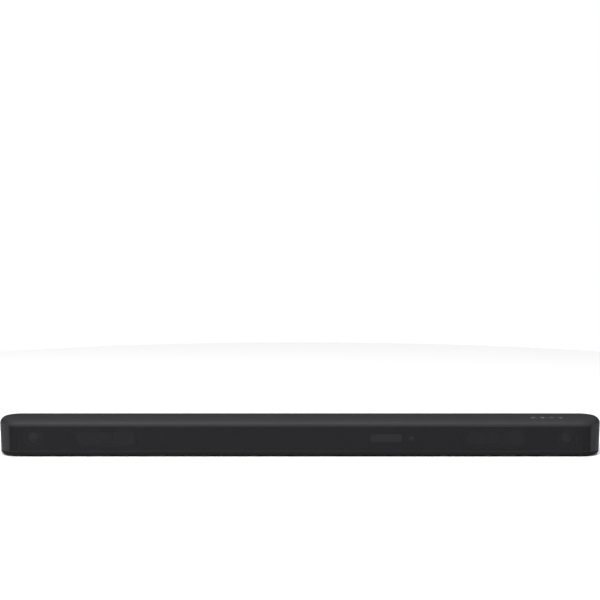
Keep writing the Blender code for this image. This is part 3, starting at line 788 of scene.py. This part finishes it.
def make_button(name):
    """Cap with a rounded top edge, a collar that stops it under the cover, and a stem."""
    node = f"{name}_button"
    low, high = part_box(node)
    x, y, _ = middle_of(node)
    collar_top = TOP - WALL - GAP
    cap = rounded_block((x - BUTTON_HALF_X, y - BUTTON_HALF_Y, collar_top - CAP_OVERLAP),
                        (x + BUTTON_HALF_X, y + BUTTON_HALF_Y, high.z),
                        2, BUTTON_CORNER, steps=10)
    round_edges(cap, edges_at(cap, 2, high.z), BUTTON_EDGE, steps=5)
    button = new_object(f"{name}_cap", cap)
    collar = block((low.x, low.y, collar_top - COLLAR_THICK), (high.x, high.y, collar_top))
    stem = rod((x, y, low.z), (x, y, collar_top - STEM_OVERLAP), STEM_RADIUS)
    carve(button, [collar, stem], "UNION")
    smooth(button)
    dress(button, CAPS, node, (node,))
    make_symbol(name)


# ---------------------------------------------------------------- connection bay
def make_bay_lining():
    """Sleeve from the back wall down to the socket plate, with a flange behind the wall."""
    low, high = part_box("rear_bay_bezel")
    plate_low, plate_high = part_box("rear_port_panel")
    inner_face = BACK - WALL - GAP
    lining = new_object("bay_lining", rounded_block((plate_low.x, low.y, plate_low.z),
                                                    (plate_high.x, high.y, plate_high.z),
                                                    1, LINING_CORNER))
    carve(lining, [block((low.x, inner_face - FLANGE_THICK, low.z), (high.x, inner_face, high.z))],
          "UNION")
    carve(lining, [rounded_block((plate_low.x + LINING_WALL, low.y - OVERRUN,
                                  plate_low.z + LINING_WALL),
                                 (plate_high.x - LINING_WALL, high.y + OVERRUN,
                                  plate_high.z - LINING_WALL), 1, LINING_INNER_CORNER)])
    soften(lining)
    dress(lining, HOUSING, replaces=("rear_bay_bezel",))


def make_socket_plate():
    low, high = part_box("rear_port_panel")
    plate = new_object("socket_plate", rounded_block(low, high, 1, LINING_CORNER))
    shapes = []
    for node in SOCKETS:
        socket_low, socket_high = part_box(node)
        shapes.append(block((socket_low.x - GAP, low.y - OVERRUN, socket_low.z - GAP),
                            (socket_high.x + GAP, high.y + OVERRUN, socket_high.z + GAP)))
    carve(plate, shapes)
    soften(plate, FINE_EDGE)
    dress(plate, INNER, replaces=("rear_port_panel",))


# ---------------------------------------------------------------- sockets
def socket_body(node, mouth):
    """Moulded socket with its mouth cut into its rear face."""
    body = new_object(f"{node}_body", block(*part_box(node)))
    carve(body, mouth)
    soften(body, FINE_EDGE)
    dress(body, CHIP, replaces=(node,))


def detail(name, bm, material, slot, edge=0.0):
    """Small piece of a socket, with its sharp edges softened where an edge radius is given."""
    made = new_object(name, bm)
    if edge:
        soften(made, edge)
    else:
        smooth(made)
    dress(made, material)


def inward_block(x, z, half_x, half_z, inner, outer):
    """Block round a line that runs into a socket, between two depths."""
    return block((x - half_x, inner, z - half_z), (x + half_x, outer, z + half_z))


def face_back(bm, place):
    """Turn a piece made round Z to look out of the back, and put it in its place."""
    bmesh.ops.rotate(bm, verts=bm.verts, matrix=Matrix.Rotation(-math.pi / 2, 3, "X"))
    bmesh.ops.translate(bm, verts=bm.verts, vec=place)
    return bm


def make_power_inlet():
    """Figure-eight inlet with two round pins."""
    x, _, z = middle_of("power_inlet")
    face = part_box("power_inlet")[1].y
    floor = face - INLET_DEPTH
    mouth = [rod((x + shift, floor, z), (x + shift, face + OVERRUN, z), INLET_LOBE, sides=48)
             for shift in (-INLET_SPREAD, INLET_SPREAD)]
    mouth.append(inward_block(x, z, INLET_SPREAD, INLET_WAIST, floor, face + OVERRUN))
    socket_body("power_inlet", mouth)
    for side, shift in (("left", -INLET_SPREAD), ("right", INLET_SPREAD)):
        pin = rod((x + shift, floor - OVERRUN, z), (x + shift, face - PIN_SUNK, z), PIN_RADIUS,
                  sides=24)
        detail(f"inlet_pin_{side}", pin, BRIGHT, "zinc_steel")


def make_tongue_socket(node, rim, tongue, tongue_rise, pins):
    """Socket lined with plated sheet, with a moulded tongue and gold contacts under it.

    rim holds the body's wall beside and above the mouth, tongue the gap beside the tongue and
    its thickness.
    """
    low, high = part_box(node)
    x, _, z = middle_of(node)
    face = high.y
    half_x = (high.x - low.x) / 2 - rim[0]
    half_z = (high.z - low.z) / 2 - rim[1]
    socket_body(node, [inward_block(x, z, half_x, half_z, face - MOUTH_DEPTH, face + OVERRUN)])

    shell = new_object(f"{node}_shell", inward_block(x, z, half_x - SHELL_PLAY, half_z - SHELL_PLAY,
                                                     face - SHELL_DEPTH, face + SHELL_SHEET))
    carve(shell, [inward_block(x, z, half_x - SHELL_SHEET, half_z - SHELL_SHEET,
                               face - SHELL_DEPTH + SHELL_SHEET, face + OVERRUN)])
    soften(shell, SHELL_EDGE, segments=1)
    dress(shell, BRIGHT)

    tongue_half = half_x - tongue[0]
    tongue_low = z + tongue_rise - tongue[1] / 2
    blade = block((x - tongue_half, face - TONGUE_ROOT, tongue_low),
                  (x + tongue_half, face - TONGUE_TIP, tongue_low + tongue[1]))
    detail(f"{node}_tongue", blade, INNER, "component_plastic", THIN_EDGE)

    width = tongue_half * CONTACT_SHARE / pins
    contacts = bmesh.new()
    for index in range(pins):
        at = x + tongue_half * CONTACT_SPREAD * ((index + 0.5) / pins - 0.5)
        place = Matrix.Translation((at, face - (CONTACT_ROOT + CONTACT_TIP) / 2,
                                    tongue_low + (CONTACT_SUNK - CONTACT_PROUD) / 2))
        size = (width, CONTACT_ROOT - CONTACT_TIP, CONTACT_SUNK + CONTACT_PROUD, 1.0)
        bmesh.ops.create_cube(contacts, size=1.0, matrix=place @ Matrix.Diagonal(size))
    detail(f"{node}_contacts", contacts, GOLD, "zinc_steel")


def make_optical_socket():
    """Square mouth with a small lens at its bottom."""
    x, _, z = middle_of("optical_socket")
    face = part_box("optical_socket")[1].y
    mouth = rounded_block((x - OPTICAL_HALF, face - OPTICAL_DEPTH, z - OPTICAL_HALF),
                          (x + OPTICAL_HALF, face + OVERRUN, z + OPTICAL_HALF), 1, OPTICAL_CORNER)
    socket_body("optical_socket", [mouth])
    lens = face_back(turned(LENS_PROFILE, steps=24), (x, face - OPTICAL_DEPTH - LENS_SUNK, z))
    detail("optical_lens", lens, WINDOW, "display_window")


def make_aux_socket():
    """Round jack with a plated collar."""
    x, _, z = middle_of("aux_socket")
    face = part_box("aux_socket")[1].y
    socket_body("aux_socket", [rod((x, face - AUX_DEPTH, z), (x, face + OVERRUN, z), AUX_RADIUS)])
    collar = face_back(turned(COLLAR_PROFILE, steps=40), (x, face + COLLAR_LIFT, z))
    detail("aux_collar", collar, BRIGHT, "zinc_steel")


# ---------------------------------------------------------------- feet, screws, wall plates
def make_feet():
    """Rubber pads with a plug above and grooves across the sole."""
    for node in ("foot_front_left", "foot_rear_left", "foot_front_right", "foot_rear_right"):
        low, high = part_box(node)
        x, y, _ = middle_of(node)
        pad_top = BASE_LOW.z - GAP
        pad = rounded_block((low.x, low.y, low.z), (high.x, high.y, pad_top), 2, FOOT_CORNER,
                            steps=10)
        round_edges(pad, edges_at(pad, 2, low.z), FOOT_EDGE, steps=3)
        foot = new_object(f"{node}_pad", pad)
        carve(foot, [rod((x, y, pad_top - FOOT_EDGE), (x, y, high.z), PLUG_RADIUS)], "UNION")
        grooves = []
        for step in range(-GROOVES_BESIDE, GROOVES_BESIDE + 1):
            at = x + step * GROOVE_PITCH
            grooves.append(block((at - GROOVE_HALF, low.y - OVERRUN, low.z - OVERRUN),
                                 (at + GROOVE_HALF, high.y + OVERRUN, low.z + GROOVE_DEPTH)))
        carve(foot, grooves)
        smooth(foot)
        dress(foot, RUBBER, replaces=(node,))


def screw_profile(low, high):
    """Half outline of a screw that stands on its head: thread, shank and pan head."""
    head_top = low + HEAD_HEIGHT
    profile = [(0, high), (TIP_RADIUS, high)]
    turns = int((high - head_top - PLAIN_LENGTH) / THREAD_PITCH)
    for turn in range(turns):
        z = high - TIP_LENGTH - turn * THREAD_PITCH
        profile += [(CORE_RADIUS, z), (THREAD_RADIUS, z - THREAD_PITCH / 2)]
    profile += [(CORE_RADIUS, head_top + NECK), (CORE_RADIUS, head_top)]
    profile += [(radius, low + rise) for radius, rise in HEAD_PROFILE]
    return profile


def make_screws():
    """Pan-head screws with a tapered cross recess and a rolled thread."""
    for node in case_screws():
        low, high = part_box(node)
        x, y, _ = middle_of(node)
        screw = new_object(f"{node}_steel", turned(screw_profile(low.z, high.z), steps=32))
        for vertex in screw.data.vertices:
            vertex.co += Vector((x, y, 0))
        recess = []
        for turn in (0, math.pi / 2):
            slot = block((-RECESS_LONG, -RECESS_WIDE, low.z - OVERRUN),
                         (RECESS_LONG, RECESS_WIDE, low.z + RECESS_DEPTH))
            for vertex in slot.verts:
                if vertex.co.z > low.z:
                    vertex.co.x *= RECESS_TAPER
            bmesh.ops.rotate(slot, verts=slot.verts, matrix=Matrix.Rotation(turn, 3, "Z"))
            bmesh.ops.translate(slot, verts=slot.verts, vec=(x, y, 0))
            recess.append(slot)
        carve(screw, recess)
        smooth(screw)
        dress(screw, ZINC, replaces=(node,))


def make_keyhole_plates():
    for node in KEYHOLE_PLATES:
        low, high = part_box(node)
        plate = new_object(f"{node}_steel", rounded_block(low, high, 1, PLATE_CORNER))
        carve(plate, keyhole_shapes(node, ENTRY_RADIUS, SLOT_RADIUS, low.y - OVERRUN,
                                    high.y + OVERRUN))
        soften(plate, THIN_EDGE)
        dress(plate, ZINC, replaces=(node,))


# ---------------------------------------------------------------- speakers
def racetrack(half_x, half_z, y):
    """Ring of points round an upright racetrack outline."""
    straight = half_x - half_z
    points = []
    for index in range(RACETRACK_POINTS):
        angle = 2 * math.pi * (index + 0.5) / RACETRACK_POINTS
        shift = math.copysign(straight, math.cos(angle))
        points.append(Vector((shift + half_z * math.cos(angle), y, half_z * math.sin(angle))))
    return points


def loft(rings, centre):
    """Skin through closed rings with the same number of points."""
    bm = bmesh.new()
    rows = [[bm.verts.new(point + centre) for point in ring] for ring in rings]
    for first, second in zip(rows, rows[1:]):
        for index, here in enumerate(first):
            after = (index + 1) % len(first)
            bm.faces.new((here, first[after], second[after], second[index]))
    bmesh.ops.recalc_face_normals(bm, faces=bm.faces)
    return bm


def make_surround(side):
    """Half-roll rubber edge between the frame and the cone."""
    node = f"{side}_woofer_surround"
    low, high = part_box(node)
    centre = Vector(((low.x + high.x) / 2, high.y - SURROUND_SUNK, (low.z + high.z) / 2))
    outer_x = (high.x - low.x) / 2
    outer_z = (high.z - low.z) / 2
    radius = (SURROUND_WIDTH - 2 * SURROUND_LIP) / 2
    offsets = [(0.0, 0.0), (SURROUND_LIP, 0.0)]
    for step in range(1, SURROUND_STEPS):
        turn = math.pi * step / SURROUND_STEPS
        offsets.append((SURROUND_LIP + radius - radius * math.cos(turn),
                        -radius * math.sin(turn) * SURROUND_HEIGHT))
    offsets += [(SURROUND_WIDTH - SURROUND_LIP, 0.0), (SURROUND_WIDTH, 0.0)]
    rings = [racetrack(outer_x - inset, outer_z - inset, rise) for inset, rise in offsets]
    roll = new_object(f"{side}_surround_roll", loft(rings, centre))
    solidify(roll, SURROUND_SHEET)
    smooth(roll, angle=60.0)
    dress(roll, RUBBER, replaces=(node,))


# ---------------------------------------------------------------- solids that stay as packed
NODE_LOOKS = {
    "front_baffle": INNER, "main_board": BOARD, "power_board": BOARD, "button_board": BOARD,
    "display_board": BOARD, "wireless_module": BOARD, "heatsink": ALUMINIUM,
    "power_transformer": FERRITE, "mains_capacitor": SLEEVE, "display_module": WINDOW,
    "infrared_receiver": WINDOW, "left_speaker_lead": SHEATH, "right_speaker_lead": SHEATH,
}
ENDING_LOOKS = {"_frame": BLACK_STEEL, "_magnet": FERRITE, "_cone": PAPER, "_dome": SILK}


def look_for(node):
    """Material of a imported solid, by its name or else by how its name ends."""
    if node in NODE_LOOKS:
        return NODE_LOOKS[node]
    for ending, material in ENDING_LOOKS.items():
        if node.endswith(ending):
            return material
    return CHIP


def dress_packed_nodes():
    for node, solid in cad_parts.items():
        for slot in solid.material_slots:
            slot.material = look_for(node)


# ---------------------------------------------------------------- stage, light and camera
CAMERA_DISTANCE = 3.1025
CAMERA_ELEVATION = math.radians(9.66)
CAMERA_PITCH = math.radians(5.92)
CAMERA_LENS = 123.5
CAMERA_SENSOR = 36.0
CAMERA_REACH = 60.0

# Strength of the surroundings low down and overhead, and the band of height between the two.
WORLD_HORIZON = 0.05
WORLD_OVERHEAD = 0.8
WORLD_BAND = (0.25, 0.75)

# Softbox name, place, point that it faces, width and height, and power in watts.
LAMPS = (
    ("front_panel", (-0.4, -2.7, 1.9), (0, 0, 0), (2.6, 1.0), 160),
    ("overhead_panel", (0, -0.7, 2.6), (0, 0, 0), (2.6, 0.8), 22),
    ("left_panel", (-2.0, -1.5, 0.9), (-0.4, 0, 0), (0.7, 0.9), 11),
    ("right_panel", (2.2, -1.0, 0.9), (0.4, 0, 0), (0.7, 0.9), 3.5),
)
FLOOR_RADIUS = 1.35
FLOOR_WHITE = (0.86, 0.86, 0.86)


def make_stage():
    disc = bmesh.new()
    bmesh.ops.create_circle(disc, cap_ends=True, segments=128, radius=FLOOR_RADIUS)
    floor = new_object("floor", disc)
    paint = Look("floor_paint", FLOOR_WHITE, roughness=0.9, specular=0.1)
    paint.mottle(scale=0.7, amount=0.004)
    floor.data.materials.append(paint.material)


def make_lamp(name, place, target, size, power):
    data = bpy.data.lights.new(name, "AREA")
    data.shape = "RECTANGLE"
    data.size, data.size_y = size
    data.energy = power
    light = bpy.data.objects.new(name, data)
    light.location = place
    light.rotation_euler = (Vector(target) - Vector(place)).to_track_quat("-Z", "Y").to_euler()
    bpy.context.scene.collection.objects.link(light)


def make_world():
    """White to the camera; for light, a dim horizon that brightens towards overhead."""
    world = bpy.data.worlds.new("studio")
    world.use_nodes = True
    nodes, links = world.node_tree.nodes, world.node_tree.links
    place = nodes.new("ShaderNodeTexCoord")
    split = nodes.new("ShaderNodeSeparateXYZ")
    links.new(place.outputs["Generated"], split.inputs["Vector"])
    rise = nodes.new("ShaderNodeMapRange")
    rise.interpolation_type = "SMOOTHSTEP"
    rise.inputs["From Min"].default_value = WORLD_BAND[0]
    rise.inputs["From Max"].default_value = WORLD_BAND[1]
    rise.inputs["To Min"].default_value = WORLD_HORIZON
    rise.inputs["To Max"].default_value = WORLD_OVERHEAD
    links.new(split.outputs["Z"], rise.inputs["Value"])
    ray = nodes.new("ShaderNodeLightPath")
    choose = nodes.new("ShaderNodeMix")
    links.new(ray.outputs["Is Camera Ray"], choose.inputs["Factor"])
    links.new(rise.outputs["Result"], choose.inputs["A"])
    choose.inputs["B"].default_value = 1.0
    links.new(choose.outputs["Result"], nodes["Background"].inputs["Strength"])
    nodes["Background"].inputs["Color"].default_value = (1, 1, 1, 1)
    bpy.context.scene.world = world


def make_light():
    bpy.context.scene.view_settings.view_transform = "Standard"
    make_world()
    for settings in LAMPS:
        make_lamp(*settings)


def make_camera():
    camera = bpy.data.objects.new("camera", bpy.data.cameras.new("camera"))
    camera.data.lens = CAMERA_LENS
    camera.data.sensor_width = CAMERA_SENSOR
    camera.data.clip_end = CAMERA_REACH
    camera.location = (0, -CAMERA_DISTANCE * math.cos(CAMERA_ELEVATION),
                       TOP / 2 + CAMERA_DISTANCE * math.sin(CAMERA_ELEVATION))
    camera.rotation_euler = (math.pi / 2 - CAMERA_PITCH, 0, 0)
    bpy.context.scene.collection.objects.link(camera)
    bpy.context.scene.camera = camera


dress_packed_nodes()
make_top_cover()
make_bottom_cover()
make_grille_half("grille_right_half", side=1, replaces=("front_grille",))
make_grille_half("grille_left_half", side=-1, replaces=())
for button_name in BUTTONS:
    make_button(button_name)
make_bay_lining()
make_socket_plate()
make_power_inlet()
make_tongue_socket("video_socket", rim=(0.0018, 0.0021), tongue=(0.0020, 0.0008), tongue_rise=0.0,
                   pins=9)
make_tongue_socket("usb_socket", rim=(0.0016, 0.0020), tongue=(0.0012, 0.0010),
                   tongue_rise=0.0009, pins=4)
make_optical_socket()
make_aux_socket()
make_feet()
make_screws()
make_keyhole_plates()
make_surround("left")
make_surround("right")
make_stage()
make_light()
make_camera()
